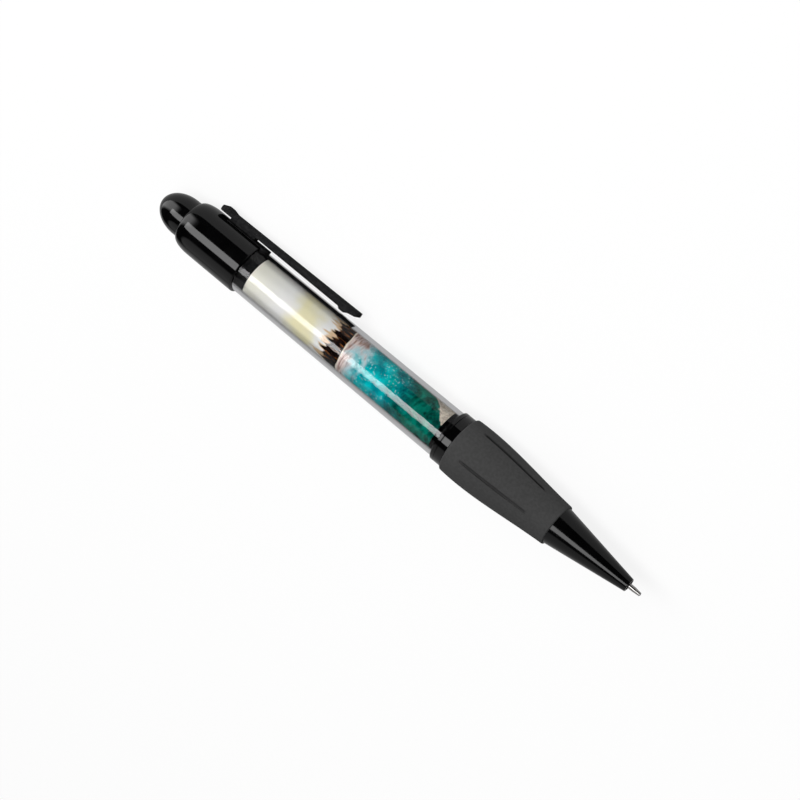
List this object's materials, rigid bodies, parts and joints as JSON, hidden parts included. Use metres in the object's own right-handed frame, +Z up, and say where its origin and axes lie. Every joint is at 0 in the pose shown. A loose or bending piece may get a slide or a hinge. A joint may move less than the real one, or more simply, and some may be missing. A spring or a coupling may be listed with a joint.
{
  "type": "ballpoint pen",
  "caption": "Push-button ballpoint pen lying on its side, with a clear barrel over a rolled picture, a soft grip and a pocket clip.",
  "frame": {"origin": "middle of the footprint of the lying pen, on the surface that it lies on", "axes": "+X from the writing tip towards the button, +Z up, the clip on the -Y side and low"},
  "size_m": [0.1448, 0.0154, 0.0143],
  "materials": {
    "button_gloss_black": "gloss",
    "cap_gloss_black": "gloss",
    "clip_black": "satin",
    "cam_plastic": "satin",
    "rotor_plastic": "satin",
    "coupling_gloss_black": "gloss",
    "clear_plastic": "gloss",
    "printed_sheet": "satin",
    "liner_white": "satin",
    "collar_gloss_black": "gloss",
    "core_gloss_black": "gloss",
    "grip_rubber": "matte",
    "nose_gloss_black": "gloss",
    "spring_steel": "satin",
    "refill_plastic": "satin",
    "ink": "gloss",
    "tip_metal": "polished",
    "ball_metal": "polished"
  },
  "bodies": {
    "barrel": {"cap_shell": "cap_gloss_black", "pocket_clip": "clip_black", "cam_sleeve": "cam_plastic", "top_coupling": "coupling_gloss_black", "clear_barrel": "clear_plastic", "picture_insert": "printed_sheet", "core_tube": "liner_white", "lower_collar": "collar_gloss_black", "grip_core": "core_gloss_black", "grip_sleeve": "grip_rubber", "nose_cone": "nose_gloss_black", "return_spring": "spring_steel"},
    "button": {"push_button": "button_gloss_black"},
    "rotor": {"rotor_cam": "rotor_plastic"},
    "refill": {"refill_tube": "refill_plastic", "ink_column": "ink", "refill_tip": "tip_metal"},
    "ball": {"writing_ball": "ball_metal"}
  },
  "joints": [
    {"name": "button_press", "type": "slide", "parent": "barrel", "child": "button", "axis": [1, 0, -0.0093], "range_m": [-0.0012, 0.005], "stiffness_N_per_m": 300},
    {"name": "rotor_slide", "type": "slide", "parent": "barrel", "child": "rotor", "axis": [1, 0, -0.0093], "range_m": [-0.0012, 0.005]},
    {"name": "refill_slide", "type": "slide", "parent": "barrel", "child": "refill", "axis": [1, 0, -0.0093], "range_m": [-0.0012, 0.005], "deforming": ["return_spring"]},
    {"name": "ball_roll", "type": "hinge", "parent": "refill", "child": "ball", "pos_m": [-0.07205, 0.00051, 0.00762], "axis": [0, 1, 0], "continuous": true}
  ],
  "couplings": [
    {"joint": "rotor_slide", "follows": "button_press", "ratio": 1},
    {"joint": "refill_slide", "follows": "button_press", "ratio": 1}
  ]
}
